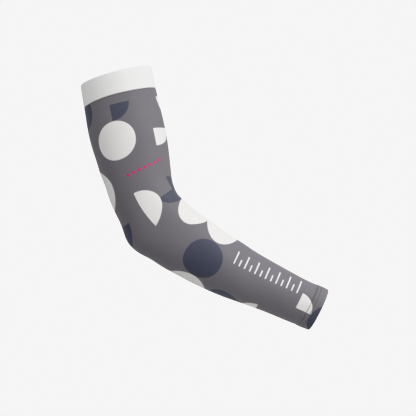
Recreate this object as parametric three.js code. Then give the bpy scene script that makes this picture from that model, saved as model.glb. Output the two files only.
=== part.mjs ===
// A knitted arm warmer, in the shape it takes on the bent arm that fills it: a thin printed tube,
// a doubled elastic cuff round the upper arm and a turned hem round the wrist.
// Sizes are in millimetres and degrees. X runs towards the hand, Y through the arm from the side
// that is seen, and Z up. The origin is the middle of the cuff's mouth.
import * as THREE from "three";

// The arm that the fabric follows
const UPPER_LENGTH = 211; // cuff mouth to the corner where the two arm lines cross
const FORE_LENGTH = 272; // that corner to the wrist end
const UPPER_LEAN = 10.8; // upper arm off the vertical
const FORE_DROP = 26.4; // forearm below the horizontal
const BEND_RADIUS = 125; // of the middle line, round the elbow
const ARM_WIDTH = 106; // thickest part of the upper arm, front to back
const ARM_DEPTH = 96; // the same part, from side to side
const ELBOW_POINT = 7.5; // how far the bone of the elbow pushes the fabric out
const ELBOW_REACH = 17; // how soon that push fades along the sleeve
const ELBOW_PAST_BEND = 7; // the bone lies this far past the middle of the bend
const ELBOW_SHARPNESS = 3; // how narrow that push is round the arm
const MOUTH_TILT = 4.6; // the cuff's mouth off square to the upper arm
const MOUTH_TILT_REACH = 110; // how far down the sleeve that tilt fades out

// The sleeve's own parts
const FABRIC = 1.2; // wall of the knitted tube
const CUFF_HEIGHT = 31; // elastic cuff, from its fold to its seam
const CUFF_WALL = 2.4; // two plies of elastic
const SEAM_ALLOWANCE = 7; // edge of the tube turned up behind the cuff
const HEM_HEIGHT = 17; // turned hem, from its fold to its stitching
const HEM_RAW_EDGE = 4; // turned ply that runs on past the stitching
const SEAM_GAP = 0.3; // clearance between pieces that are sewn together

// How finely the surfaces are drawn
const AROUND = 40; // points round each section
const STATION_STEP = 12; // longest stretch between two sections
const FOLD_STEPS = 4; // facets round a folded edge

// Sections of the arm. along is a share of the whole middle line, width and shift are shares of
// ARM_WIDTH, depth of ARM_DEPTH. shift moves a section towards the inside of the bend.
const SECTIONS = [
  { along: 0.0, width: 0.97, depth: 0.95, shift: -0.007 },
  { along: 0.08, width: 0.985, depth: 0.97, shift: -0.01 },
  { along: 0.16, width: 1.0, depth: 1.0, shift: -0.007 },
  { along: 0.24, width: 0.966, depth: 0.98, shift: 0.007 },
  { along: 0.32, width: 0.888, depth: 0.93, shift: 0.024 },
  { along: 0.4, width: 0.853, depth: 0.88, shift: 0.026 },
  { along: 0.48, width: 0.863, depth: 0.86, shift: 0.026 },
  { along: 0.56, width: 0.86, depth: 0.88, shift: 0.011 },
  { along: 0.64, width: 0.818, depth: 0.87, shift: -0.02 },
  { along: 0.72, width: 0.752, depth: 0.8, shift: -0.034 },
  { along: 0.8, width: 0.672, depth: 0.7, shift: -0.035 },
  { along: 0.9, width: 0.612, depth: 0.56, shift: -0.02 },
  { along: 1.0, width: 0.58, depth: 0.49, shift: -0.005 },
];

// Worked out from the sizes above
const radians = THREE.MathUtils.degToRad;
const upperHeading = radians(90 - UPPER_LEAN);
const foreHeading = radians(FORE_DROP);
const bendAngle = upperHeading - foreHeading;
const bendTangent = BEND_RADIUS * Math.tan(bendAngle / 2);
const bendStart = UPPER_LENGTH - bendTangent;
const bendEnd = bendStart + BEND_RADIUS * bendAngle;
const sleeveLength = bendEnd + FORE_LENGTH - bendTangent;
const elbowAt = (bendStart + bendEnd) / 2 + ELBOW_PAST_BEND;
const tubeStart = CUFF_HEIGHT + SEAM_GAP;
const tubeEnd = sleeveLength - HEM_HEIGHT;
const hemWall = 2 * FABRIC + SEAM_GAP;

// The way along the sleeve for a heading below the horizontal, and the way to the bend's inside
const wayAlong = (heading) =>
  new THREE.Vector3(Math.cos(heading), 0, -Math.sin(heading));
const wayInside = (heading) =>
  new THREE.Vector3(Math.sin(heading), 0, Math.cos(heading));

// The middle line: straight down the upper arm, an arc round the elbow, straight down the forearm.
function middleLine(at) {
  const upper = wayAlong(upperHeading);
  if (at <= bendStart) {
    return { point: upper.multiplyScalar(at), heading: upperHeading };
  }
  const turned = Math.min(at - bendStart, bendEnd - bendStart) / BEND_RADIUS;
  const heading = upperHeading - turned;
  const point = upper
    .multiplyScalar(bendStart)
    .addScaledVector(wayInside(upperHeading), BEND_RADIUS)
    .addScaledVector(wayInside(heading), -BEND_RADIUS);
  if (at > bendEnd) {
    point.addScaledVector(wayAlong(foreHeading), at - bendEnd);
  }
  return { point, heading };
}

// One column of SECTIONS at a share of the sleeve, eased smoothly from row to row.
function sectionValue(column, share) {
  const last = SECTIONS.length - 1;
  const next = SECTIONS.findIndex((row) => row.along > share);
  const i = next < 0 ? last - 1 : Math.max(next - 1, 0);
  const slope = (k) => {
    const before = SECTIONS[Math.max(k - 1, 0)];
    const after = SECTIONS[Math.min(k + 1, last)];
    return (after[column] - before[column]) / (after.along - before.along);
  };
  const [from, to] = [SECTIONS[i], SECTIONS[i + 1]];
  const span = to.along - from.along;
  const t = (share - from.along) / span;
  const ease = t * t * (3 - 2 * t);
  return (
    from[column] * (1 - ease) +
    to[column] * ease +
    span * slope(i) * t * (1 - t) * (1 - t) -
    span * slope(i + 1) * t * t * (1 - t)
  );
}

// The closed section at a distance along the sleeve, inset from the fabric's outer face.
function section(at, inset) {
  const { point, heading } = middleLine(at);
  const share = at / sleeveLength;
  const tilt = radians(MOUTH_TILT) * Math.max(0, 1 - at / MOUTH_TILT_REACH);
  const inside = wayInside(heading - tilt);
  const halfWidth = (ARM_WIDTH * sectionValue("width", share)) / 2 - inset;
  const halfDepth = (ARM_DEPTH * sectionValue("depth", share)) / 2 - inset;
  const middle = point.addScaledVector(
    inside,
    ARM_WIDTH * sectionValue("shift", share),
  );
  const push = ELBOW_POINT * Math.exp(-(((at - elbowAt) / ELBOW_REACH) ** 2));
  const ring = [];
  for (let k = 0; k < AROUND; k++) {
    const angle = (2 * Math.PI * k) / AROUND;
    const outerSide = Math.max(0, -Math.cos(angle));
    const across =
      halfWidth * Math.cos(angle) - push * outerSide ** ELBOW_SHARPNESS;
    ring.push(
      middle
        .clone()
        .addScaledVector(inside, across)
        .add(new THREE.Vector3(0, halfDepth * Math.sin(angle), 0)),
    );
  }
  return ring;
}

// Points of a profile from one place along the sleeve to another, at one inset. A stretch that
// runs with the sleeve is cut into stations, so that the fabric follows the arm.
function run(from, to, inset) {
  const steps = Math.max(1, Math.ceil(Math.abs(to - from) / STATION_STEP));
  const stations = [];
  for (let i = 0; i <= steps; i++) {
    stations.push({ at: from + ((to - from) * i) / steps, inset });
  }
  return stations;
}

// The points between the two faces of a folded edge. The fold lies at foldAt, and towards is the
// way along the sleeve from the fold into the cloth, 1 or -1.
function foldedEdge(foldAt, towards, wall) {
  const radius = wall / 2;
  const points = [];
  for (let i = 1; i < FOLD_STEPS; i++) {
    const angle = (Math.PI * i) / FOLD_STEPS;
    points.push({
      at: foldAt + towards * radius * (1 - Math.sin(angle)),
      inset: radius * (1 - Math.cos(angle)),
    });
  }
  return points;
}

// A closed profile of places along the sleeve and insets, swept all round the arm.
function sweep(profile) {
  const positions = profile
    .flatMap(({ at, inset }) => section(at, inset))
    .flatMap((p) => p.toArray());
  const indices = [];
  profile.forEach((_, i) => {
    const here = i * AROUND;
    const next = ((i + 1) % profile.length) * AROUND;
    for (let k = 0; k < AROUND; k++) {
      const beside = (k + 1) % AROUND;
      indices.push(here + k, next + k, next + beside);
      indices.push(here + k, next + beside, here + beside);
    }
  });
  const geometry = new THREE.BufferGeometry();
  geometry.setAttribute(
    "position",
    new THREE.Float32BufferAttribute(positions, 3),
  );
  geometry.setIndex(indices);
  geometry.computeVertexNormals();
  return geometry;
}

function piece(name, profile, material) {
  const mesh = new THREE.Mesh(sweep(profile), material);
  mesh.name = name;
  return mesh;
}

// The doubled elastic band: folded at the mouth, its two edges together at the seam.
function upperCuff(material) {
  const radius = CUFF_WALL / 2;
  const profile = [
    ...run(radius, CUFF_HEIGHT, 0),
    ...run(CUFF_HEIGHT, radius, CUFF_WALL),
    ...foldedEdge(0, 1, CUFF_WALL).reverse(),
  ];
  return piece("upper_cuff", profile, material);
}

// The printed tube. Its upper edge turns inwards and lies up behind the cuff.
function sleeveBody(material) {
  const behindCuff = CUFF_WALL + SEAM_GAP;
  const turnedEdge = CUFF_HEIGHT - SEAM_ALLOWANCE;
  const profile = [
    ...run(tubeStart, tubeEnd, 0),
    ...run(tubeEnd, tubeStart + FABRIC, FABRIC),
    ...run(tubeStart + FABRIC, turnedEdge, behindCuff + FABRIC),
    ...run(turnedEdge, tubeStart, behindCuff),
  ];
  return piece("sleeve_body", profile, material);
}

// The wrist end, folded in on itself. The inner ply runs on past the stitching inside the tube.
function wristHem(material) {
  const foldAt = sleeveLength;
  const radius = hemWall / 2;
  const stitchedAt = tubeEnd + SEAM_GAP;
  const innerPly = FABRIC + SEAM_GAP;
  const profile = [
    ...run(stitchedAt, foldAt - radius, 0),
    ...foldedEdge(foldAt, -1, hemWall),
    ...run(foldAt - radius, tubeEnd - HEM_RAW_EDGE, hemWall),
    ...run(tubeEnd - HEM_RAW_EDGE, stitchedAt, innerPly),
  ];
  return piece("wrist_hem", profile, material);
}

const whiteElastic = new THREE.MeshStandardMaterial({
  color: 0xe4e3e1,
  roughness: 0.85,
  metalness: 0,
});
const greyKnit = new THREE.MeshStandardMaterial({
  color: 0x6f6a70,
  roughness: 0.7,
  metalness: 0,
});

const armWarmer = new THREE.Group();
armWarmer.name = "arm_warmer";
armWarmer.add(
  upperCuff(whiteElastic),
  sleeveBody(greyKnit),
  wristHem(greyKnit),
);

export default armWarmer;
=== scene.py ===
import math
from collections import namedtuple
from functools import lru_cache

import bpy
from mathutils import Matrix, Vector


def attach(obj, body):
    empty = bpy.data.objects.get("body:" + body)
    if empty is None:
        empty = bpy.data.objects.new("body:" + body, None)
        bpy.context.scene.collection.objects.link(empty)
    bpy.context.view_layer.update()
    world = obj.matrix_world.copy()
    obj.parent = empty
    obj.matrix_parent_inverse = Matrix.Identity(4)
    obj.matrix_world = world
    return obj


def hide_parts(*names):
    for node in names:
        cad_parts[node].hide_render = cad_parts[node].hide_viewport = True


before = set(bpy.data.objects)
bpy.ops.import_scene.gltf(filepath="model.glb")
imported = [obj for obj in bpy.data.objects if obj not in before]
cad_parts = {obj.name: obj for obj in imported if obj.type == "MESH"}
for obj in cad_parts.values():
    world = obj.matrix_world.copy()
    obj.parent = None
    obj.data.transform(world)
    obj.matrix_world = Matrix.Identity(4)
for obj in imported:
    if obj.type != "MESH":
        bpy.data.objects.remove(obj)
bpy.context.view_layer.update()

MM = 0.001

# The arm that the fabric follows
UPPER_LENGTH = 211 * MM  # cuff mouth to the corner where the two arm lines cross
FORE_LENGTH = 272 * MM  # that corner to the wrist end
UPPER_LEAN = math.radians(10.8)  # upper arm off the vertical
FORE_DROP = math.radians(26.4)  # forearm below the horizontal
BEND_RADIUS = 125 * MM  # of the middle line, round the elbow
ARM_WIDTH = 106 * MM  # thickest part of the upper arm, front to back
ARM_DEPTH = 96 * MM  # the same part, from side to side
ELBOW_POINT = 7.5 * MM  # how far the bone of the elbow pushes the fabric out
ELBOW_REACH = 17 * MM  # how soon that push fades along the sleeve
ELBOW_PAST_BEND = 7 * MM  # the bone lies this far past the middle of the bend
ELBOW_SHARPNESS = 3  # how narrow that push is round the arm
MOUTH_TILT = math.radians(4.6)  # the cuff's mouth off square to the upper arm
MOUTH_TILT_REACH = 110 * MM  # how far down the sleeve that tilt fades out
SEAM_DROOP = 3.5 * MM  # how far the cuff's seam sinks behind the arm
SEAM_DROOP_REACH = 22 * MM  # how soon that fades along the sleeve

# The sleeve's own parts
FABRIC = 1.2 * MM  # wall of the knitted tube
CUFF_HEIGHT = 31 * MM  # elastic cuff, from its fold to its seam
CUFF_WALL = 2.4 * MM  # two plies of elastic
CUFF_PLY = 1.1 * MM  # one of them
SEAM_ALLOWANCE = 7 * MM  # edge of the tube turned up behind the cuff
HEM_HEIGHT = 17 * MM  # turned hem, from its fold to its stitching
HEM_RAW_EDGE = 4 * MM  # turned ply that runs on past the stitching
PLY_GAP = 0.3 * MM  # air between two plies
NEEDLE_GAP = 5.5 * MM  # between the two rows of stitching at the hem

# Sections of the arm. along is a share of the whole middle line, width and shift are shares of
# ARM_WIDTH, depth of ARM_DEPTH. shift moves a section towards the inside of the bend.
Section = namedtuple("Section", "along width depth shift")
SECTIONS = [
    Section(along=0.0, width=0.97, depth=0.95, shift=-0.007),
    Section(along=0.08, width=0.985, depth=0.97, shift=-0.01),
    Section(along=0.16, width=1.0, depth=1.0, shift=-0.007),
    Section(along=0.24, width=0.966, depth=0.98, shift=0.007),
    Section(along=0.32, width=0.888, depth=0.93, shift=0.024),
    Section(along=0.4, width=0.853, depth=0.88, shift=0.026),
    Section(along=0.48, width=0.863, depth=0.86, shift=0.026),
    Section(along=0.56, width=0.86, depth=0.88, shift=0.011),
    Section(along=0.64, width=0.818, depth=0.87, shift=-0.02),
    Section(along=0.72, width=0.752, depth=0.8, shift=-0.034),
    Section(along=0.8, width=0.672, depth=0.7, shift=-0.035),
    Section(along=0.9, width=0.612, depth=0.56, shift=-0.02),
    Section(along=1.0, width=0.58, depth=0.49, shift=-0.005),
]

# How finely the tubes are drawn
AROUND = 40  # edges of the first ring, before subdivision
SMOOTHING = 2  # levels of subdivision
SLEEVE_STEP = 9 * MM  # between two rings of the sleeve
BAND_STEP = 2.6 * MM  # between two rings of the cuff
HEM_STEP = 1.8 * MM  # between two rings of the hem
EDGE_STEPS = (0.5 * MM, 1.3 * MM, 2.6 * MM, 4.8 * MM)  # rings that keep the end of a face square
FOLD_STEPS = 4  # facets round a folded edge, before subdivision
SHARP_CORNER = math.radians(50)  # edges bent by more than this are shaded sharp
WELD = 0.02 * MM  # points closer than this are one

# Worked out from the sizes above
UPPER_HEADING = math.pi / 2 - UPPER_LEAN
BEND_ANGLE = UPPER_HEADING - FORE_DROP
BEND_TANGENT = BEND_RADIUS * math.tan(BEND_ANGLE / 2)
BEND_START = UPPER_LENGTH - BEND_TANGENT
BEND_END = BEND_START + BEND_RADIUS * BEND_ANGLE
SLEEVE_LENGTH = BEND_END + FORE_LENGTH - BEND_TANGENT
ELBOW_AT = (BEND_START + BEND_END) / 2 + ELBOW_PAST_BEND
HEM_SEWN_AT = SLEEVE_LENGTH - HEM_HEIGHT
HEM_WALL = 2 * FABRIC + PLY_GAP
FRONT = -math.pi / 2  # the angle round the arm that faces the camera; 0 is the bend's inside


# Curves that many forms share

def bell(distance, width):
    """1 where the distance is 0, fading to nothing over about two widths."""
    return math.exp(-((distance / width) ** 2))


def limited(share):
    """The share, held between 0 and 1."""
    return min(max(share, 0.0), 1.0)


def eased(share):
    """The share, with a smooth start and end. It may also be a Value of a material."""
    return share * share * (3 - 2 * share)


# The arm's form

def way_along(heading):
    """The way along the sleeve, for a heading below the horizontal."""
    return Vector((math.cos(heading), 0.0, -math.sin(heading)))


def way_inside(heading):
    """The way to the inside of the bend."""
    return Vector((math.sin(heading), 0.0, math.cos(heading)))


def middle_line(at):
    """The arm's middle at a distance down the sleeve, and its heading there."""
    if at <= BEND_START:
        return way_along(UPPER_HEADING) * at, UPPER_HEADING
    turned = min(at - BEND_START, BEND_END - BEND_START) / BEND_RADIUS
    heading = UPPER_HEADING - turned
    swing = way_inside(UPPER_HEADING) - way_inside(heading)
    point = way_along(UPPER_HEADING) * BEND_START + swing * BEND_RADIUS
    if at > BEND_END:
        point += way_along(FORE_DROP) * (at - BEND_END)
    return point, heading


@lru_cache(maxsize=None)
def section_value(column, share):
    """One column of SECTIONS at a share of the sleeve, eased smoothly from row to row."""
    last = len(SECTIONS) - 1
    i = max((k for k in range(last) if SECTIONS[k].along <= share), default=0)

    def slope(k):
        before, after = SECTIONS[max(k - 1, 0)], SECTIONS[min(k + 1, last)]
        return (getattr(after, column) - getattr(before, column)) / (after.along - before.along)

    span = SECTIONS[i + 1].along - SECTIONS[i].along
    t = (share - SECTIONS[i].along) / span
    return (
        getattr(SECTIONS[i], column) * (1 - eased(t))
        + getattr(SECTIONS[i + 1], column) * eased(t)
        + span * slope(i) * t * (1 - t) ** 2
        - span * slope(i + 1) * t * t * (1 - t)
    )


@lru_cache(maxsize=None)
def half_sizes(at):
    """Half the width and half the depth of the fabric's outer face."""
    share = at / SLEEVE_LENGTH
    width = ARM_WIDTH * section_value("width", share)
    depth = ARM_DEPTH * section_value("depth", share)
    return width / 2, depth / 2


def tube_point(at, angle, inset):
    """A point of the straight tube: along it, round it, and under its outer face."""
    half_width, half_depth = half_sizes(at)
    return Vector((
        (half_width - inset) * math.cos(angle),
        (half_depth - inset) * math.sin(angle),
        -at,
    ))


def unroll(point):
    """The distance along, the angle round and the inset of a point of the straight tube. The last
    two are close, not exact, because the fabric is thin beside the arm."""
    at = -point.z
    half_width, half_depth = half_sizes(at)
    x, y = point.x / half_width, point.y / half_depth
    reach = math.hypot(x, y)
    shrink = (x / reach) ** 2 / half_width + (y / reach) ** 2 / half_depth
    return at, math.atan2(y, x), (1 - reach) / shrink


def worn_point(at, angle, inset):
    """The place on the arm of a point of the straight tube."""
    outer_side = max(0.0, -math.cos(angle))
    on_tube = tube_point(at, angle, inset)
    at += SEAM_DROOP * outer_side ** 2 * bell(at - CUFF_HEIGHT, SEAM_DROOP_REACH)
    point, heading = middle_line(at)
    tilt = MOUTH_TILT * max(0.0, 1.0 - at / MOUTH_TILT_REACH)
    push = ELBOW_POINT * bell(at - ELBOW_AT, ELBOW_REACH)
    shift = ARM_WIDTH * section_value("shift", at / SLEEVE_LENGTH)
    across = on_tube.x + shift - push * outer_side ** ELBOW_SHARPNESS
    return point + way_inside(heading - tilt) * across + Vector((0.0, on_tube.y, 0.0))


# The cloth: around is the distance from the front line, along the distance from the mouth

ARC_STEPS = 90  # steps of angle in half a turn
ARC_ROW = 1 * MM  # between two rows of the table of arcs


@lru_cache(maxsize=None)
def arc_row(row):
    """Distances over the fabric from the front line, for each step of half a turn."""
    half_width, half_depth = half_sizes(row * ARC_ROW)
    lengths = [0.0]
    for k in range(ARC_STEPS):
        turn = math.pi * (k + 0.5) / ARC_STEPS
        stride = math.hypot(half_width * math.cos(turn), half_depth * math.sin(turn))
        lengths.append(lengths[-1] + stride * math.pi / ARC_STEPS)
    return lengths


def around_cloth(at, angle, side=None):
    """Distance over the fabric from the front line, more than 0 towards the bend's inside. side, 1
    or -1, settles which way the back line counts."""
    turn = math.remainder(angle - FRONT, 2 * math.pi)
    if side is None:
        side = math.copysign(1.0, turn)
    step = abs(turn) / math.pi * ARC_STEPS
    row = max(at, 0.0) / ARC_ROW
    k, r = min(int(step), ARC_STEPS - 1), int(row)
    above, below = arc_row(r), arc_row(r + 1)
    upper = above[k] + (above[k + 1] - above[k]) * (step - k)
    lower = below[k] + (below[k + 1] - below[k]) * (step - k)
    return side * (upper + (lower - upper) * (row - r))


def half_girth(at):
    """Distance over the fabric from the front line to the back line."""
    return abs(around_cloth(at, -FRONT))


# Low relief of the cloth, in straight form, so that every piece on it follows

CUFF_PILLOW = 0.35 * MM  # the elastic stands proud between its fold and its seam
CUFF_GROOVE = 1.0 * MM  # depth of the seam under the cuff
CUFF_GROOVE_WIDTH = 0.55 * MM
HEM_RISE = 0.9 * MM  # the hem stands proud, from where its raw edge lies under the knit
ROW_GROOVE = 0.8 * MM  # depth of the first row of stitches
SECOND_ROW_GROOVE = 0.35 * MM
ROW_GROOVE_WIDTH = 1.3 * MM
BACK_GROOVE = 0.6 * MM  # depth of the long seam on the hidden side
BACK_GROOVE_WIDTH = 1.6 * MM
BACK_RIDGE = 0.9 * MM  # the same seam's allowance, on the inner face
BACK_RIDGE_WIDTH = 3 * MM
PUCKER_REACH = 7 * MM  # how soon the puckers fade before the hem's stitching

# Soft waves of the knit over the arm, and puckers that the hem's stitches pull: height, whole waves
# round the arm, length of one wave along it, and the angle of the wave that it starts at
Wave = namedtuple("Wave", "height turns along start")
SOFT_WAVES = [
    Wave(height=0.45 * MM, turns=2, along=190 * MM, start=0.6),
    Wave(height=0.30 * MM, turns=3, along=-120 * MM, start=2.1),
    Wave(height=0.16 * MM, turns=5, along=85 * MM, start=4.0),
]
PUCKERS = [
    Wave(height=0.16 * MM, turns=13, along=40 * MM, start=0.4),
    Wave(height=0.10 * MM, turns=21, along=-30 * MM, start=1.9),
]

# Slight swells of the arm, or hollows where the height is below 0. side is 1 for the inside of the
# bend and -1 for the outside, and along is the distance from the mouth.
Swell = namedtuple("Swell", "side along reach height")
SWELLS = [
    Swell(side=1, along=94 * MM, reach=34 * MM, height=1.4 * MM),
    Swell(side=-1, along=134 * MM, reach=14 * MM, height=1.3 * MM),
    Swell(side=-1, along=195 * MM, reach=20 * MM, height=-1.5 * MM),
    Swell(side=1, along=198 * MM, reach=14 * MM, height=-0.8 * MM),
    Swell(side=-1, along=229 * MM, reach=9 * MM, height=1.3 * MM),
    Swell(side=1, along=336 * MM, reach=12 * MM, height=0.7 * MM),
    Swell(side=-1, along=412 * MM, reach=28 * MM, height=-0.9 * MM),
    Swell(side=1, along=464 * MM, reach=14 * MM, height=0.5 * MM),
]

# Round the elbow the arm is fuller at the four diagonals than a plain oval
INSIDE_FULLNESS = 3.0 * MM  # on the inside of the bend
OUTSIDE_FULLNESS = 1.4 * MM
FULLNESS_REACH = 65 * MM
FORMS_START_OVER = 124 * MM  # distance below the cuff over which it and the waves set in

# Dents just above the hem, where the two plies pull: place on the cloth, half sizes and depth
Dent = namedtuple("Dent", "around along half_around half_along depth")
DENTS = [
    Dent(around=26 * MM, along=455 * MM, half_around=16 * MM, half_along=2.4 * MM, depth=0.9 * MM),
    Dent(around=-27 * MM, along=452 * MM, half_around=10 * MM, half_along=2.4 * MM, depth=0.9 * MM),
    Dent(around=70 * MM, along=454 * MM, half_around=9 * MM, half_along=2.4 * MM, depth=0.6 * MM),
]


def waves(rows, at, angle):
    """The height that all the waves of a table add up to at one place."""
    return sum(
        w.height * math.sin(w.turns * angle + 2 * math.pi * at / w.along + w.start) for w in rows
    )


def cuff_relief(at):
    """The soft crown of the elastic, and the seam that lies deeper under it."""
    share = limited(at / CUFF_HEIGHT)
    crown = 4 * CUFF_PILLOW * share * (1 - share)
    return crown - CUFF_GROOVE * bell(at - CUFF_HEIGHT, CUFF_GROOVE_WIDTH)


def arm_relief(at, angle):
    """The softer forms of the arm, and the waves of the knit over it."""
    fullness = INSIDE_FULLNESS if math.cos(angle) > 0 else OUTSIDE_FULLNESS
    fullness *= bell(at - ELBOW_AT, FULLNESS_REACH)
    out = waves(SOFT_WAVES, at, angle) + fullness * math.sin(2 * angle) ** 2
    out *= limited((at - CUFF_HEIGHT) / FORMS_START_OVER)
    for swell in SWELLS:
        facing = max(0.0, swell.side * math.cos(angle))
        out += swell.height * bell(at - swell.along, swell.reach) * facing ** 2
    return out


def hem_relief(at, angle):
    """The hem's rise, the two rows of stitches that sink into it, and what they pull in."""
    from_row = at - HEM_SEWN_AT
    out = HEM_RISE * eased(limited(from_row / HEM_RAW_EDGE + 1.0))
    out -= ROW_GROOVE * bell(from_row, ROW_GROOVE_WIDTH)
    out -= SECOND_ROW_GROOVE * bell(from_row - NEEDLE_GAP, ROW_GROOVE_WIDTH)
    out += waves(PUCKERS, at, angle) * bell(from_row, PUCKER_REACH)
    around = around_cloth(at, angle)
    for dent in DENTS:
        depth = dent.depth * bell(around - dent.around, dent.half_around)
        out -= depth * bell(at - dent.along, dent.half_along)
    return out


def from_long_seam(at, angle):
    """Distance over the fabric from the back line, where the long seam runs."""
    return half_girth(at) - abs(around_cloth(at, angle))


def relief(at, angle):
    """How far the fabric stands out from the arm's plain form."""
    out = cuff_relief(at) + arm_relief(at, angle) + hem_relief(at, angle)
    if at > CUFF_HEIGHT:
        out -= BACK_GROOVE * bell(from_long_seam(at, angle), BACK_GROOVE_WIDTH)
    return out


# Modelling

CLOTH_MAP = "cloth"  # the UV map: around and along, in metres
PRINTED = "printed"  # 1 on the printed side of the knit, 0 on its reverse


def deselect():
    bpy.ops.object.select_all(action="DESELECT")


def work_on(*pieces):
    """Selects the pieces and makes the first one active."""
    deselect()
    for piece in pieces:
        piece.select_set(True)
    bpy.context.view_layer.objects.active = pieces[0]


def face_run(start, end, inset, step):
    """Places along one face of the cloth, closer together near both ends, but for no more than a
    third of the way from each."""
    length = abs(end - start)
    near = [0.0] + [distance for distance in EDGE_STEPS if distance < length / 3]
    count = max(1, math.ceil((length - 2 * near[-1]) / step))
    between = [near[-1] + (length - 2 * near[-1]) * i / count for i in range(1, count)]
    distances = near + between + [length - distance for distance in reversed(near)]
    return [(start + (end - start) * distance / length, inset) for distance in distances]


def fold(fold_at, towards, outset, wall):
    """Places round a folded edge, from the face at outset to the one a wall further in. The fold
    lies at fold_at, and towards is the way along the sleeve into the cloth, 1 or -1."""
    places = []
    for i in range(1, FOLD_STEPS):
        angle = math.pi * i / FOLD_STEPS
        back = wall / 2 * (1 - math.sin(angle))
        places.append((fold_at + towards * back, outset + wall / 2 * (1 - math.cos(angle))))
    return places


def knit_tube(name, profile):
    """A closed wall: a ring of edges drawn out from place to place of its profile and back."""
    deselect()
    at, inset = profile[0]
    half_width, half_depth = (half - inset for half in half_sizes(at))
    bpy.ops.mesh.primitive_circle_add(
        vertices=AROUND, radius=1.0, fill_type="NOTHING", location=(0, 0, 0)
    )
    piece = bpy.context.object
    piece.name = piece.data.name = name
    bpy.ops.object.mode_set(mode="EDIT")
    bpy.ops.mesh.select_all(action="SELECT")
    bpy.ops.transform.resize(value=(half_width, half_depth, 1.0), center_override=(0, 0, 0))
    bpy.ops.transform.translate(value=(0, 0, -at))
    for next_at, next_inset in profile[1:] + profile[:1]:
        next_width, next_depth = (half - next_inset for half in half_sizes(next_at))
        bpy.ops.mesh.extrude_region_move(TRANSFORM_OT_translate={"value": (0, 0, at - next_at)})
        growth = (next_width / half_width, next_depth / half_depth, 1.0)
        bpy.ops.transform.resize(value=growth, center_override=(0, 0, -next_at))
        at, half_width, half_depth = next_at, next_width, next_depth
    bpy.ops.mesh.select_all(action="SELECT")
    bpy.ops.mesh.remove_doubles(threshold=WELD)
    bpy.ops.mesh.normals_make_consistent(inside=False)
    bpy.ops.object.mode_set(mode="OBJECT")
    smooth = piece.modifiers.new("smooth", "SUBSURF")
    smooth.levels = smooth.render_levels = SMOOTHING
    bpy.ops.object.modifier_apply(modifier=smooth.name)
    return piece


def lay_cloth(piece, along_cloth, is_printed):
    """Gives a straight tube its place on the cloth and says where it is printed. along_cloth and
    is_printed are functions of a distance along the tube and an inset."""
    mesh = piece.data
    places = [unroll(vertex.co) for vertex in mesh.vertices]
    uv_layer = mesh.uv_layers.new(name=CLOTH_MAP)
    for face in mesh.polygons:
        middle_turn = math.remainder(unroll(face.center)[1] - FRONT, 2 * math.pi)
        side = math.copysign(1.0, middle_turn)
        for loop in face.loop_indices:
            at, angle, inset = places[mesh.loops[loop].vertex_index]
            uv_layer.data[loop].uv = (around_cloth(at, angle, side), along_cloth(at, inset))
    printed = mesh.attributes.new(PRINTED, "FLOAT", "POINT")
    printed.data.foreach_set("value", [float(is_printed(at, inset)) for at, _, inset in places])


def bend_onto_arm(piece, ridge_from=math.inf):
    """Gives a straight piece the relief of the cloth and bends it onto the arm. From the inset
    ridge_from on, the long seam's allowance thickens the fabric."""
    for vertex in piece.data.vertices:
        at, angle, inset = unroll(vertex.co)
        if inset > ridge_from:
            inset += BACK_RIDGE * bell(from_long_seam(at, angle), BACK_RIDGE_WIDTH)
        vertex.co = worn_point(at, angle, inset - relief(at, angle))
    piece.data.update()


def shade(piece):
    """Shades a piece smooth but for its sharp edges."""
    work_on(piece)
    bpy.ops.object.shade_smooth_by_angle(angle=SHARP_CORNER)


# The three cloth pieces

def along_plainly(at, inset):
    """The distance along the cloth where it doesn't fold back on itself."""
    return at


def make_cuff():
    """The doubled elastic band: one strip folded at the mouth, both edges at the seam."""
    inner_ply = CUFF_WALL - CUFF_PLY
    slit = inner_ply - CUFF_PLY
    round_fold, round_slit = CUFF_WALL / 2, CUFF_PLY + slit / 2
    profile = (
        face_run(round_fold, CUFF_HEIGHT, 0.0, BAND_STEP)
        + face_run(CUFF_HEIGHT, round_slit, CUFF_PLY, BAND_STEP)
        + fold(CUFF_PLY, 1, CUFF_PLY, slit)
        + face_run(round_slit, CUFF_HEIGHT, inner_ply, BAND_STEP)
        + face_run(CUFF_HEIGHT, round_fold, CUFF_WALL, BAND_STEP)
        + fold(0.0, 1, 0.0, CUFF_WALL)[::-1]
    )
    cuff = knit_tube("elastic_cuff", profile)
    lay_cloth(cuff, along_plainly, lambda at, inset: True)
    bend_onto_arm(cuff)
    shade(cuff)
    return cuff


def make_sleeve():
    """The printed tube. Its upper edge turns inwards and lies up behind the cuff."""
    behind_cuff = CUFF_WALL + PLY_GAP
    turned_edge = CUFF_HEIGHT - SEAM_ALLOWANCE
    profile = (
        face_run(CUFF_HEIGHT, HEM_SEWN_AT, 0.0, SLEEVE_STEP)
        + face_run(HEM_SEWN_AT, CUFF_HEIGHT + FABRIC, FABRIC, SLEEVE_STEP)
        + face_run(CUFF_HEIGHT + FABRIC, turned_edge, behind_cuff + FABRIC, SLEEVE_STEP)
        + face_run(turned_edge, CUFF_HEIGHT, behind_cuff, SLEEVE_STEP)
    )
    sleeve = knit_tube("printed_sleeve", profile)
    lay_cloth(sleeve, along_plainly, lambda at, inset: inset < FABRIC / 2)
    bend_onto_arm(sleeve, ridge_from=FABRIC / 2)
    shade(sleeve)
    return sleeve


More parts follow.
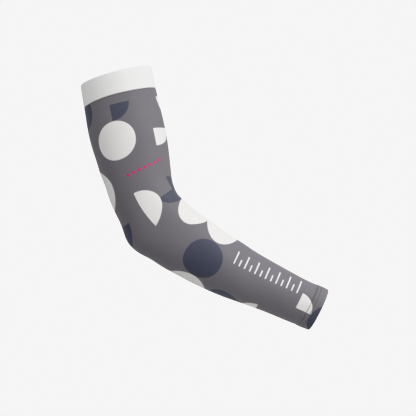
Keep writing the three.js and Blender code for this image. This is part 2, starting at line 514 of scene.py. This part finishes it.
def make_hem():
    """The wrist end, folded in on itself. The inner ply runs on past the stitching."""
    round_fold = SLEEVE_LENGTH - HEM_WALL / 2
    slit_end = SLEEVE_LENGTH - FABRIC - PLY_GAP / 2
    inner_ply = FABRIC + PLY_GAP
    raw_edge = HEM_SEWN_AT - HEM_RAW_EDGE
    profile = (
        face_run(HEM_SEWN_AT, round_fold, 0.0, HEM_STEP)
        + fold(SLEEVE_LENGTH, -1, 0.0, HEM_WALL)
        + face_run(round_fold, raw_edge, HEM_WALL, HEM_STEP)
        + face_run(raw_edge, slit_end, inner_ply, HEM_STEP)
        + fold(SLEEVE_LENGTH - FABRIC, -1, FABRIC, PLY_GAP)[::-1]
        + face_run(slit_end, HEM_SEWN_AT, FABRIC, HEM_STEP)
    )
    hem = knit_tube("turned_hem", profile)

    def along_fold(at, inset):
        return at if inset < HEM_WALL / 2 else 2 * SLEEVE_LENGTH - at

    def on_the_outside(at, inset):
        from_middle = math.hypot(max(at - round_fold, 0.0), inset - HEM_WALL / 2)
        return from_middle > (HEM_WALL - FABRIC) / 2

    lay_cloth(hem, along_fold, on_the_outside)
    bend_onto_arm(hem)
    shade(hem)
    return hem


# Stitching

THREAD = 0.42 * MM
THREAD_LIFT = 0.3 * THREAD  # how far its middle stands off the fabric
STITCH = 3.2 * MM  # from one needle hole to the next
STITCH_SHOWING = 0.68  # share of a stitch between the middles of its round ends
STITCH_ROWS = (HEM_SEWN_AT, HEM_SEWN_AT + NEEDLE_GAP)
OVERLOCK = 3.6 * MM  # from one overlock loop to the next
OVERLOCK_REACH = 5 * MM  # from the cut edge to the needle thread
STITCH_SIDES = 8
STITCH_RINGS = 6  # an even number, so that one lies at the middle
MIDDLE_RING = THREAD / 10  # what lies nearer the middle than this is that one


def one_stitch(length):
    """A short length of thread lying along Z. length is between the middles of its round ends."""
    deselect()
    bpy.ops.mesh.primitive_uv_sphere_add(
        segments=STITCH_SIDES, ring_count=STITCH_RINGS, radius=THREAD / 2, location=(0, 0, 0)
    )
    stitch = bpy.context.object
    bpy.ops.object.mode_set(mode="EDIT")
    for end in (1, -1):
        bpy.ops.mesh.select_all(action="DESELECT")
        bpy.ops.object.mode_set(mode="OBJECT")
        for vertex in stitch.data.vertices:
            vertex.select = end * vertex.co.z > MIDDLE_RING
        bpy.ops.object.mode_set(mode="EDIT")
        bpy.ops.transform.translate(value=(0, 0, end * length / 2))
    bpy.ops.object.mode_set(mode="OBJECT")
    bpy.ops.object.shade_smooth()
    return stitch


def sew(name, paths):
    """Joins one stitch for each pair of ends, given in the straight tube, and puts them on."""
    usual = sum((end - start).length for start, end in paths) / len(paths)
    pattern = one_stitch(usual)
    pieces = []
    for start, end in paths:
        copy = bpy.data.objects.new(name, pattern.data.copy())
        bpy.context.collection.objects.link(copy)
        run = end - start
        turn = run.to_track_quat("Z", "Y").to_matrix().to_4x4()
        stretch = Matrix.Diagonal((1.0, 1.0, run.length / usual, 1.0))
        copy.data.transform(Matrix.Translation((start + end) / 2) @ turn @ stretch)
        pieces.append(copy)
    bpy.data.objects.remove(pattern)
    work_on(*pieces)
    bpy.ops.object.join()
    seam = bpy.context.object
    seam.name = seam.data.name = name
    bend_onto_arm(seam)
    return seam


def angles_round(at, spacing):
    """Angles that lie evenly round the cloth, about a spacing apart, from the back line on."""
    girth = 2 * half_girth(at)
    count = round(girth / spacing)
    lengths = arc_row(round(at / ARC_ROW))
    angles = []
    for i in range(count):
        around = girth * (i / count - 0.5)
        shorter = sum(length < abs(around) for length in lengths)
        k = min(max(shorter, 1), ARC_STEPS)
        part = (abs(around) - lengths[k - 1]) / (lengths[k] - lengths[k - 1])
        turn = math.pi * (k - 1 + part) / ARC_STEPS
        angles.append(FRONT + math.copysign(turn, around))
    return angles


def with_the_next(angles):
    """Each angle with the next one round, and the last with the first."""
    return zip(angles, angles[1:] + [angles[0] + 2 * math.pi])


def make_hem_stitches():
    """Two rows of straight stitches round the hem, as a twin needle leaves them."""
    paths = []
    for row in STITCH_ROWS:
        for here, beside in with_the_next(angles_round(row, STITCH)):
            end = here + (beside - here) * STITCH_SHOWING
            paths.append([tube_point(row, angle, -THREAD_LIFT) for angle in (here, end)])
    return sew("hem_stitches", paths)


def make_looper_thread():
    """The zigzag on the inside of the hem that ties the two rows together."""
    under = HEM_WALL + THREAD_LIFT
    angles = angles_round(HEM_SEWN_AT, STITCH / 2)
    corners = [tube_point(STITCH_ROWS[i % 2], angle, under) for i, angle in enumerate(angles)]
    return sew("hem_looper_thread", list(zip(corners, corners[1:] + corners[:1])))


def make_overlock():
    """Overlocking round the raw edge that is turned up behind the cuff."""
    under = CUFF_WALL + PLY_GAP + FABRIC + THREAD_LIFT
    edge = CUFF_HEIGHT - SEAM_ALLOWANCE
    needle = edge + OVERLOCK_REACH
    paths = []
    for here, beside in with_the_next(angles_round(needle, OVERLOCK)):
        low, low_next = (tube_point(needle, angle, under) for angle in (here, beside))
        high = tube_point(edge, (here + beside) / 2, under)
        paths += [(low, high), (high, low_next), (low, low_next)]
    return sew("cuff_overlock", paths)


# Materials

class Value:
    """One output of a material's nodes. Sums on it add Math nodes to the same material."""

    def __init__(self, finish, socket):
        self.finish = finish
        self.socket = socket

    def math(self, operation, *others, clamp=False):
        """Adds one Math node, whose first value is this one."""
        settings = {"operation": operation, "use_clamp": clamp}
        inputs = dict(enumerate((self, *others)))
        return self.finish.node("ShaderNodeMath", settings, inputs)

    def __add__(self, other):
        return self.math("ADD", other)

    __radd__ = __add__

    def __sub__(self, other):
        return self.math("SUBTRACT", other)

    def __rsub__(self, other):
        return (self * -1) + other

    def __mul__(self, other):
        return self.math("MULTIPLY", other)

    __rmul__ = __mul__

    def __truediv__(self, other):
        return self.math("DIVIDE", other)

    def limited(self):
        """The value, held between 0 and 1."""
        return self.math("ADD", 0.0, clamp=True)


class Finish:
    """A node material built round one principled shader, whose constant sockets are given."""

    def __init__(self, name, **constants):
        self.material = bpy.data.materials.new(name)
        self.material.use_nodes = True
        self.tree = self.material.node_tree
        self.shader = self.tree.nodes["Principled BSDF"]
        for socket, value in constants.items():
            self.shader.inputs[socket.replace("_", " ")].default_value = value

    def feed(self, socket, value):
        """Links a Value to a socket, or sets the socket to a constant."""
        if isinstance(value, Value):
            self.tree.links.new(value.socket, socket)
        else:
            socket.default_value = value

    def node(self, kind, settings=None, inputs=None, output=0):
        """Adds a node with its settings, then the values or links of its sockets."""
        node = self.tree.nodes.new(kind)
        for name, setting in (settings or {}).items():
            setattr(node, name, setting)
        for name, value in (inputs or {}).items():
            self.feed(node.inputs[name], value)
        return Value(self, node.outputs[output])

    def vector(self, operation, *values):
        """A sum on vectors that gives a vector."""
        settings = {"operation": operation}
        return self.node("ShaderNodeVectorMath", settings, dict(enumerate(values)))

    def measure(self, operation, *values):
        """A sum on vectors that gives a number."""
        settings = {"operation": operation}
        return self.node("ShaderNodeVectorMath", settings, dict(enumerate(values)), output="Value")

    def mix(self, factor, low, high):
        """Colour low where factor is 0, and high where it is 1. A Mix node has sockets of the same
        name for each kind of data, so its colours go by number."""
        inputs = {"Factor": factor, 6: low, 7: high}
        return self.node("ShaderNodeMix", {"data_type": "RGBA"}, inputs, output=2)

    def noise(self, place, scale, detail):
        """Cloudy values from 0 to 1, about 0.5 in the mean."""
        return self.node(
            "ShaderNodeTexNoise", inputs={"Vector": place, "Scale": scale, "Detail": detail}
        )

    def wave(self, place, pitch):
        """A ripple from 0 to 1 along a distance in metres."""
        return (place * (2 * math.pi / pitch)).math("COSINE") * 0.5 + 0.5

    def cloth(self):
        """The place on the cloth: as a vector, and its two parts, around and along."""
        place = self.node("ShaderNodeUVMap", {"uv_map": CLOTH_MAP})
        around, along = (
            self.node("ShaderNodeSeparateXYZ", inputs={0: place}, output=axis) for axis in "XY"
        )
        return place, around, along

    def object_place(self):
        """The place in space, as a vector."""
        return self.node("ShaderNodeTexCoord", output="Object")

    def finished(self, colour, height=None, roughness=None):
        """Links the colour, the height of the surface in metres and the roughness."""
        self.feed(self.shader.inputs["Base Color"], colour)
        if height is not None:
            bump_inputs = {"Strength": 1.0, "Distance": 1.0, "Height": height}
            bump = self.node("ShaderNodeBump", inputs=bump_inputs)
            self.feed(self.shader.inputs["Normal"], bump)
        if roughness is not None:
            self.feed(self.shader.inputs["Roughness"], roughness)
        return self.material


# Colours of the knit and its inks
GREY = (0.200, 0.190, 0.210, 1.0)
NAVY = (0.100, 0.105, 0.140, 1.0)
WHITE = (0.80, 0.79, 0.775, 1.0)
REVERSE = (0.56, 0.54, 0.56, 1.0)  # the pale side that isn't printed
SHOW_THROUGH = 0.06  # share of the print that shows on the reverse
PINK = (0.74, 0.035, 0.16, 1.0)

# The print: plain dots and parts of dots, in millimetres on the cloth as it is worn. around and
# along give a dot's middle, and across and tall its size. lean is how far it leans round the arm
# for each millimetre along, and turn its turn in degrees. part says what of the dot shows: "whole",
# "only" the corner that lies to the side corner_around and corner_along of the middle, where 0
# takes both sides, or all "but" that corner.
Dot = namedtuple(
    "Dot",
    "around along across tall lean turn part corner_around corner_along",
    defaults=(0, 0, "whole", 0, 0),
)
FRONT_WHITE_DOTS = [
    Dot(-15, 93, 57, 53, lean=-0.11),
    Dot(88, 42.5, 48, 42, part="only", corner_along=1),
    Dot(41.5, 85.5, 74, 47, lean=-0.1, turn=2, part="only", corner_around=1, corner_along=1),
    Dot(-68, 153.5, 62, 49, lean=0.12),
    Dot(-7, 193, 58, 52.5, lean=-0.17, turn=-3, part="only", corner_around=1),
    Dot(58.5, 246, 67.5, 66),
    Dot(58.5, 303.5, 66.5, 49, lean=0.04),
    Dot(-67.8, 289.5, 65, 57.5, lean=0.23),
    Dot(-54, 393, 48, 42, part="only", corner_along=-1),
    Dot(-9, 441, 45.5, 45.5, part="only", corner_around=1, corner_along=1),
]
FRONT_NAVY_DOTS = [
    Dot(-13, 43.5, 54, 45, part="only", corner_around=1, corner_along=1),
    Dot(-72, 41, 57, 57),
    Dot(50.5, 183.7, 62, 58, turn=-9, part="but", corner_around=-1, corner_along=-1),
    Dot(-5.3, 296.3, 57.5, 53, lean=0.11),
    Dot(-59.8, 196, 50, 44, part="only", corner_around=1, corner_along=1),
    Dot(-62.5, 348.5, 58.5, 53.5, lean=-0.12),
    Dot(-14, 487.5, 54, 48),
]
BACK_WHITE_DOTS = [
    Dot(112, 128, 54, 54, part="but", corner_around=1, corner_along=-1),
    Dot(-128, 84, 54, 54),
    Dot(-132, 196, 52, 52, part="only", corner_around=1),
    Dot(116, 214, 50, 50, part="only", corner_around=-1),
    Dot(104, 341, 46, 46),
    Dot(-128, 260, 48, 48, part="only", corner_around=1, corner_along=-1),
    Dot(70, 446, 42, 42),
    Dot(-82, 452, 46, 46, part="only", corner_around=1, corner_along=-1),
]
BACK_NAVY_DOTS = [
    Dot(140, 60, 56, 56),
    Dot(-118, 138, 54, 54, part="but", corner_around=1, corner_along=1),
    Dot(150, 176, 52, 52),
    Dot(-104, 234, 54, 54),
    Dot(98, 262, 50, 50, part="only", corner_around=1, corner_along=1),
    Dot(-110, 306, 48, 48, part="only", corner_along=1),
    Dot(74, 390, 46, 46, part="only", corner_along=1),
]
PRINT_EDGE = 0.4 * MM  # how softly the ink ends


def inked(distance):
    """1 where a distance in metres is above 0, fading over the ink's soft edge."""
    return (distance / PRINT_EDGE + 0.5).limited()


def dot_mask(finish, cloth, dot):
    """1 on the ink of one dot."""
    offset = finish.vector("SUBTRACT", cloth, (dot.around * MM, dot.along * MM, 0.0))
    turn = math.radians(dot.turn)
    way_round = Vector((math.cos(turn), math.sin(turn), 0.0))
    way_down = Vector((-math.sin(turn), math.cos(turn), 0.0))
    to_side = (way_round - way_down * dot.lean) * (2 / (dot.across * MM))
    to_end = way_down * (2 / (dot.tall * MM))
    beside = finish.measure("DOT_PRODUCT", offset, to_side[:])
    below = finish.measure("DOT_PRODUCT", offset, to_end[:])
    reach = (beside * beside + below * below).math("SQRT")
    mask = inked((1 - reach) * (dot.across * MM / 2))
    if dot.part == "whole":
        return mask
    corner = None
    for way, side in ((way_round, dot.corner_around), (way_down, dot.corner_along)):
        if side:
            half = inked(finish.measure("DOT_PRODUCT", offset, (way * side)[:]))
            corner = half if corner is None else corner * half
    return mask * (corner if dot.part == "only" else 1 - corner)


def dots_mask(finish, cloth, dots):
    """1 on the ink of any of the dots."""
    mask = dot_mask(finish, cloth, dots[0])
    for dot in dots[1:]:
        mask = mask.math("MAXIMUM", dot_mask(finish, cloth, dot))
    return mask


# A row of small pink points below the cuff, and a scale of white strokes along the forearm. The
# row's ends are places on the cloth, around and along.
POINT_ROW_START = (-9 * MM, 142 * MM)
POINT_ROW_END = (39 * MM, 129 * MM)
POINT_PITCH = 8.3 * MM
POINT_SIZE = 3.8 * MM
SCALE_START = 337 * MM  # along the cloth, at the middle of its first stroke
SCALE_END = 433 * MM
SCALE_FOOT = 10.5 * MM  # around the cloth, where the strokes stand
SCALE_PITCH = 8 * MM
SCALE_LONG_EVERY = 2  # pitches from one long stroke to the next
SCALE_LONG = 20 * MM
SCALE_SHORT = 10 * MM
SCALE_STROKE = 2.0 * MM


def from_nearest(place, pitch):
    """Signed distance to the nearest of the marks that stand a pitch apart, one of them at 0."""
    return (place / pitch + 0.5).math("FRACT") * pitch - pitch / 2


def point_row_mask(finish, cloth):
    """1 on the small points, which stand in a straight row across the cloth."""
    run = Vector((*POINT_ROW_END, 0.0)) - Vector((*POINT_ROW_START, 0.0))
    way = run.normalized()
    offset = finish.vector("SUBTRACT", cloth, (*POINT_ROW_START, 0.0))
    along_row = finish.measure("DOT_PRODUCT", offset, way[:])
    off_row = finish.measure("DOT_PRODUCT", offset, (-way.y, way.x, 0.0))
    beside = from_nearest(along_row, POINT_PITCH)
    reach = (beside * beside + off_row * off_row).math("SQRT")
    in_row = inked(along_row + POINT_PITCH / 2) * inked(run.length + POINT_PITCH / 2 - along_row)
    return inked(POINT_SIZE / 2 - reach) * in_row


def strokes_mask(around, along, pitch, height):
    """1 on a row of strokes of one height."""
    place = along - SCALE_START
    off_stroke = from_nearest(place, pitch).math("ABSOLUTE")
    above_foot = around - SCALE_FOOT
    mask = inked(SCALE_STROKE / 2 - off_stroke)
    mask = mask * inked(above_foot) * inked(height - above_foot)
    return mask * inked(place + SCALE_STROKE) * inked(SCALE_END - SCALE_START + SCALE_STROKE - place)


# The knit
FLECKS = (900.0, 300.0, 0.0)  # how many lie in each metre around and along
FLECK_TINT = 0.10  # how much the palest of them lighten the colour
CLOUDS = 18.0  # how many lie in each metre
CLOUD_TINT = 0.08
PLAIN_TINT = 0.91  # share of the colour where both are at their darkest
NOISE_DETAIL = 2.0
SEAM_PAINTED_SHADE_REACH = 1.3 * MM  # how far below the cuff the knit is painted darker, as painted shade where it turns in under the seam
SEAM_PAINTED_SHADE_SHARE = 0.6  # share of its colour that the painted shade takes away there
WALE = 0.75 * MM  # width of one column of knit loops
COURSE = 0.62 * MM  # height of one row of loops
LOOP_HEIGHT = 0.016 * MM
RIB = 1.7 * MM  # from one faint cross rib near the wrist to the next
RIB_HEIGHT = 0.02 * MM
RIBS_FROM = 380 * MM
RIBS_FULL = 440 * MM
KNIT_ROUGHNESS = 0.64  # between the loops
LOOP_SMOOTHNESS = 0.08  # how much less it is on them
CLOUD_ROUGHNESS = 0.06  # how much more it is in the palest clouds

# The elastic
# The elastic's greyer colour: its own tone in the darker clouds, and painted shade in the grooves
# between its ribs
ELASTIC_GREY_AND_GROOVE_SHADE = (0.78, 0.775, 0.77, 1.0)
ELASTIC_WHITE = (0.88, 0.875, 0.87, 1.0)
ELASTIC_CLOUDS = 30.0  # how many lie in each metre
ELASTIC_CLOUD_DETAIL = 3.0
ELASTIC_CLOUD_SHARE = 0.5  # share of the way from the greyer colour to the white, at random over the clouds
# share of the way to the white on the ribs; the grooves between them keep the painted shade
ELASTIC_GROOVE_SHADE_SHARE = 0.3
ELASTIC_RIB = 1.3 * MM  # from one rib to the next
ELASTIC_RIB_HEIGHT = 0.03 * MM
ELASTIC_WALE = 0.65 * MM
ELASTIC_COURSE = 0.5 * MM
ELASTIC_LOOP_HEIGHT = 0.015 * MM
ELASTIC_ROUGHNESS = 0.78
ELASTIC_RIB_SMOOTHNESS = 0.06

# The thread
# painted shade: the thread is painted darker in the grooves of its twist
THREAD_GROOVE_SHADE = (0.15, 0.135, 0.15, 1.0)
THREAD_GREY = (0.23, 0.21, 0.23, 1.0)
TWIST_SCALE = 2600.0
TWIST_UNEVENNESS = 0.5
TWIST_HEIGHT = 0.01 * MM
THREAD_ROUGHNESS = 0.55
TWIST_SMOOTHNESS = 0.1


def loops(finish, around, along, wale, course):
    """Height, from 0 to 1, of knit loops: columns of small V shapes."""
    across = from_nearest(around, wale).math("ABSOLUTE") / (wale / 2)
    column = 1 - across * across
    lean = along + across * (course / 2)
    return column * (finish.wave(lean, course) * 0.5 + 0.5)


def make_printed_knit():
    """Smooth knit, printed in navy and then in white, with a pale reverse."""
    finish = Finish(
        "printed_knit",
        Sheen_Weight=0.2,
        Sheen_Roughness=0.4,
        Specular_IOR_Level=0.25,
    )
    cloth, around, along = finish.cloth()
    flecks = finish.noise(finish.vector("MULTIPLY", cloth, FLECKS), 1.0, NOISE_DETAIL)
    clouds = finish.noise(cloth, CLOUDS, NOISE_DETAIL)
    melange_and_seam_shade = flecks * FLECK_TINT + clouds * CLOUD_TINT + PLAIN_TINT
    # painted shade: the knit is painted darker just below the cuff's seam
    out_of_seam_shade = ((along - CUFF_HEIGHT) / SEAM_PAINTED_SHADE_REACH).limited()
    melange_and_seam_shade = melange_and_seam_shade * (out_of_seam_shade * SEAM_PAINTED_SHADE_SHARE + (1 - SEAM_PAINTED_SHADE_SHARE))
    navy = dots_mask(finish, cloth, FRONT_NAVY_DOTS + BACK_NAVY_DOTS)
    white = dots_mask(finish, cloth, FRONT_WHITE_DOTS + BACK_WHITE_DOTS)
    strokes = strokes_mask(around, along, SCALE_PITCH, SCALE_SHORT)
    long_strokes = strokes_mask(around, along, SCALE_PITCH * SCALE_LONG_EVERY, SCALE_LONG)
    white = white.math("MAXIMUM", strokes).math("MAXIMUM", long_strokes)
    colour = finish.mix(navy, GREY, NAVY)
    colour = finish.mix(white, colour, WHITE)
    colour = finish.mix(point_row_mask(finish, cloth), colour, PINK)
    printed = finish.node("ShaderNodeAttribute", {"attribute_name": PRINTED}, output="Fac")
    colour = finish.mix(printed * (1 - SHOW_THROUGH) + SHOW_THROUGH, REVERSE, colour)
    colour = finish.node("ShaderNodeVectorMath", {"operation": "SCALE"}, {0: colour, "Scale": melange_and_seam_shade})
    knit = loops(finish, around, along, WALE, COURSE)
    near_wrist = ((along - RIBS_FROM) / (RIBS_FULL - RIBS_FROM)).limited()
    ribs = finish.wave(along, RIB) * near_wrist
    height = knit * LOOP_HEIGHT + ribs * RIB_HEIGHT
    roughness = KNIT_ROUGHNESS - knit * LOOP_SMOOTHNESS + clouds * CLOUD_ROUGHNESS
    return finish.finished(colour, height, roughness)


def make_elastic_knit():
    """Dense white elastic, ribbed finely along the arm."""
    finish = Finish("elastic_knit", Sheen_Weight=0.0, Specular_IOR_Level=0.15)
    cloth, around, along = finish.cloth()
    clouds = finish.noise(cloth, ELASTIC_CLOUDS, ELASTIC_CLOUD_DETAIL)
    ribs = finish.wave(around, ELASTIC_RIB)
    knit = loops(finish, around, along, ELASTIC_WALE, ELASTIC_COURSE)
    # painted shade: darker in the grooves between the ribs, and varying at random over the clouds
    tone_and_groove_shade = clouds * ELASTIC_CLOUD_SHARE + ribs * ELASTIC_GROOVE_SHADE_SHARE
    colour = finish.mix(tone_and_groove_shade, ELASTIC_GREY_AND_GROOVE_SHADE, ELASTIC_WHITE)
    height = ribs * ELASTIC_RIB_HEIGHT + knit * ELASTIC_LOOP_HEIGHT
    return finish.finished(colour, height, ELASTIC_ROUGHNESS - ribs * ELASTIC_RIB_SMOOTHNESS)


def make_thread_finish():
    """Grey sewing thread with a fine twist."""
    finish = Finish("grey_thread", Sheen_Weight=0.1, Specular_IOR_Level=0.35)
    twist = finish.node(
        "ShaderNodeTexWave",
        {"bands_direction": "DIAGONAL"},
        {"Vector": finish.object_place(), "Scale": TWIST_SCALE, "Distortion": TWIST_UNEVENNESS},
        output="Fac",
    )
    # painted shade in the twist's grooves, which the same wave sinks
    colour = finish.mix(twist, THREAD_GROOVE_SHADE, THREAD_GREY)
    roughness = THREAD_ROUGHNESS - twist * TWIST_SMOOTHNESS
    return finish.finished(colour, twist * TWIST_HEIGHT, roughness)


# The studio

IMAGE_MIDDLE = Vector((128.2 * MM, 0.0, -185.5 * MM))
CAMERA_DISTANCE = 1.376
LENS = 85  # in millimetres, as a camera takes it
SENSOR = 36
FLOOR_MIDDLE = (128 * MM, 0.0, -0.72)
FLOOR_RADIUS = 0.46
FLOOR_SOLID = 0.26  # radius at which it begins to fade
FLOOR_SIDES = 96
FLOOR_COLOUR = (0.86, 0.86, 0.86, 1.0)
BACKGROUND = 1.294  # strength of the surround as the camera sees it
SKY_LIGHT = 0.62  # strength as it lights the sleeve from above
GROUND_LIGHT = 0.24  # and from below
LIGHT_CHANGE = 0.6  # it changes between this far down and this far up, in a direction of length 1

# Lamps that face the middle of the picture: place in metres, power in watts, width in metres
Lamp = namedtuple("Lamp", "name place power width")
LAMPS = [
    Lamp("key_light", place=(1.30, -1.00, 0.55), power=16.0, width=0.7),
    Lamp("rim_light", place=(1.45, -0.05, 0.30), power=5.0, width=0.8),
    Lamp("fill_light", place=(-0.95, -1.20, 0.35), power=7.0, width=1.2),
    Lamp("back_light", place=(-0.30, 1.60, 0.50), power=14.0, width=1.2),
]


def place_and_aim(name, data, place):
    """Puts a camera or a light at its place, facing the middle of the picture."""
    thing = bpy.data.objects.new(name, data)
    bpy.context.collection.objects.link(thing)
    thing.location = place
    thing.rotation_euler = (IMAGE_MIDDLE - thing.location).to_track_quat("-Z", "Y").to_euler()
    return thing


def add_camera():
    data = bpy.data.cameras.new("camera")
    data.lens = LENS
    data.sensor_width = SENSOR
    place = IMAGE_MIDDLE + Vector((0.0, -CAMERA_DISTANCE, 0.0))
    bpy.context.scene.camera = place_and_aim("camera", data, place)


def add_lamps():
    for lamp in LAMPS:
        data = bpy.data.lights.new(lamp.name, "AREA")
        data.energy = lamp.power
        data.shape = "DISK"
        data.size = lamp.width
        place_and_aim(lamp.name, data, lamp.place)


def add_surround():
    """A plain studio: the camera sees it paler than it lights, which it does mostly from above."""
    world = bpy.data.worlds.new("studio")
    bpy.context.scene.world = world
    world.use_nodes = True
    nodes, links = world.node_tree.nodes, world.node_tree.links
    direction = nodes.new("ShaderNodeSeparateXYZ")
    links.new(nodes.new("ShaderNodeTexCoord").outputs["Generated"], direction.inputs[0])
    light = nodes.new("ShaderNodeMapRange")
    light.inputs["From Min"].default_value = -LIGHT_CHANGE
    light.inputs["From Max"].default_value = LIGHT_CHANGE
    light.inputs["To Min"].default_value = GROUND_LIGHT
    light.inputs["To Max"].default_value = SKY_LIGHT
    links.new(direction.outputs["Z"], light.inputs["Value"])
    seen = nodes.new("ShaderNodeLightPath").outputs["Is Camera Ray"]
    strength = nodes.new("ShaderNodeMapRange")
    strength.inputs["To Max"].default_value = BACKGROUND
    links.new(light.outputs["Result"], strength.inputs["To Min"])
    links.new(seen, strength.inputs["Value"])
    background = nodes["Background"]
    background.inputs["Color"].default_value = (1.0, 1.0, 1.0, 1.0)
    links.new(strength.outputs["Result"], background.inputs["Strength"])


def make_floor_finish():
    """A matt, pale floor that fades out towards its rim."""
    finish = Finish("pale_floor", Roughness=0.9, Specular_IOR_Level=0.1)
    offset = finish.vector("SUBTRACT", finish.object_place(), FLOOR_MIDDLE)
    from_rim = FLOOR_RADIUS - finish.measure("LENGTH", offset)
    fade = (from_rim / (FLOOR_RADIUS - FLOOR_SOLID)).limited()
    finish.feed(finish.shader.inputs["Alpha"], eased(fade))
    return finish.finished(FLOOR_COLOUR)


def add_floor():
    deselect()
    bpy.ops.mesh.primitive_circle_add(
        vertices=FLOOR_SIDES, radius=FLOOR_RADIUS, fill_type="NGON", location=FLOOR_MIDDLE
    )
    floor = bpy.context.object
    floor.name = "floor"
    bpy.ops.object.transform_apply(location=True, rotation=True, scale=True)
    floor.data.materials.append(make_floor_finish())


bpy.context.scene.view_settings.view_transform = "Khronos PBR Neutral"
add_camera()
add_surround()
add_lamps()
add_floor()

printed_knit = make_printed_knit()
elastic_knit = make_elastic_knit()
grey_thread = make_thread_finish()

cuff, sleeve, hem = make_cuff(), make_sleeve(), make_hem()
hem_stitches, looper_thread, overlock = make_hem_stitches(), make_looper_thread(), make_overlock()

# What each piece is made of, the CAD node that it stands for and the record's name for its finish
Wearing = namedtuple("Wearing", "piece finish slot nodes")
for row in (
    Wearing(cuff, elastic_knit, "elastic_band", ["upper_cuff"]),
    Wearing(sleeve, printed_knit, "printed_knit", ["sleeve_body"]),
    Wearing(hem, printed_knit, "printed_knit", ["wrist_hem"]),
    Wearing(hem_stitches, grey_thread, "printed_knit", []),
    Wearing(looper_thread, grey_thread, "printed_knit", []),
    Wearing(overlock, grey_thread, "printed_knit", []),
):
    row.piece.data.materials.clear()
    row.piece.data.materials.append(row.finish)
    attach(row.piece, "root")
    if row.nodes:
        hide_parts(*row.nodes)


def corners(box):
    return [list(corner) for corner in box]
